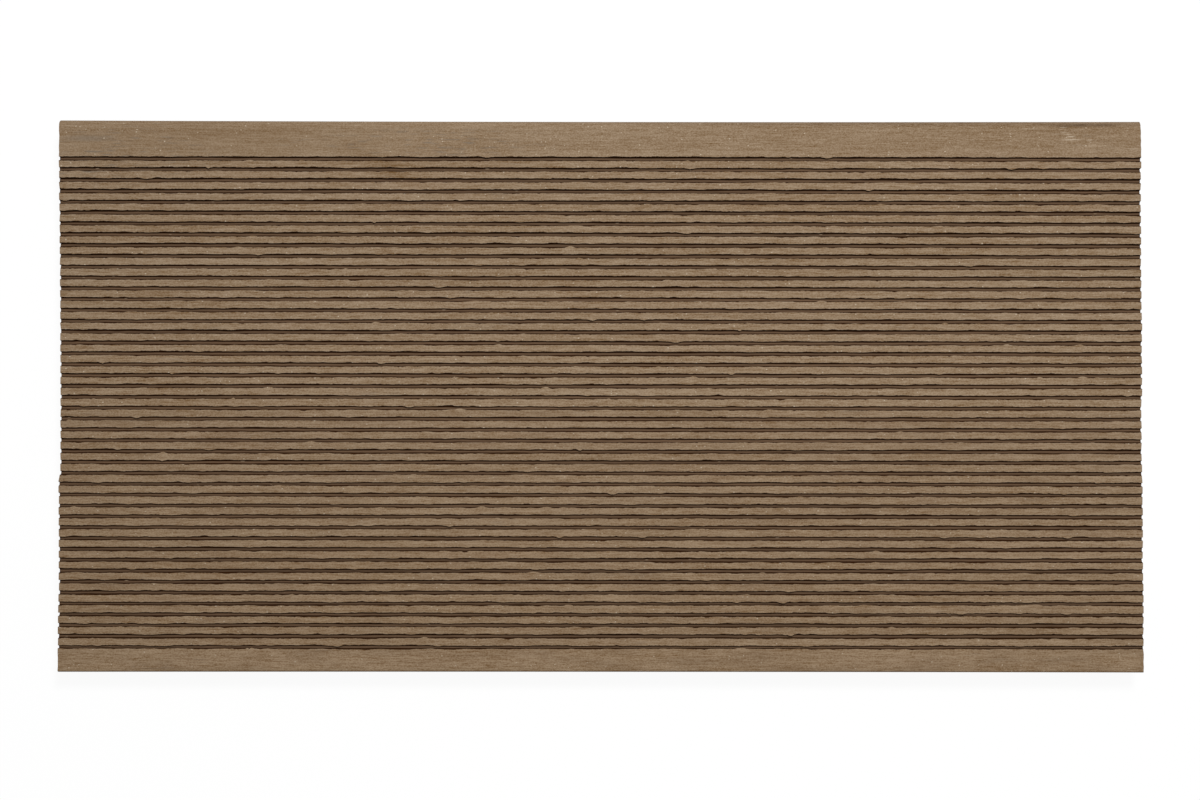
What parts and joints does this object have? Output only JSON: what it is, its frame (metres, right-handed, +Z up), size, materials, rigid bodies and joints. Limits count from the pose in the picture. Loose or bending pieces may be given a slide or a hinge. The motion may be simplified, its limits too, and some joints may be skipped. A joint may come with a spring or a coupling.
{
  "type": "deck step board",
  "caption": "Solid wood-plastic composite step tread with a rounded front nosing, fine lengthwise anti-slip grooves and plain bands at its front and rear edges.",
  "frame": {"origin": "centre of the underside", "axes": "+X along the grooves, from sawn end to sawn end; +Y across the board towards the rounded front nosing; +Z up, out of the grooved walking face"},
  "size_m": [0.6, 0.3052, 0.025],
  "materials": {
    "composite": "matte"
  },
  "bodies": {
    "root": {"step_board": "composite"}
  },
  "joints": []
}
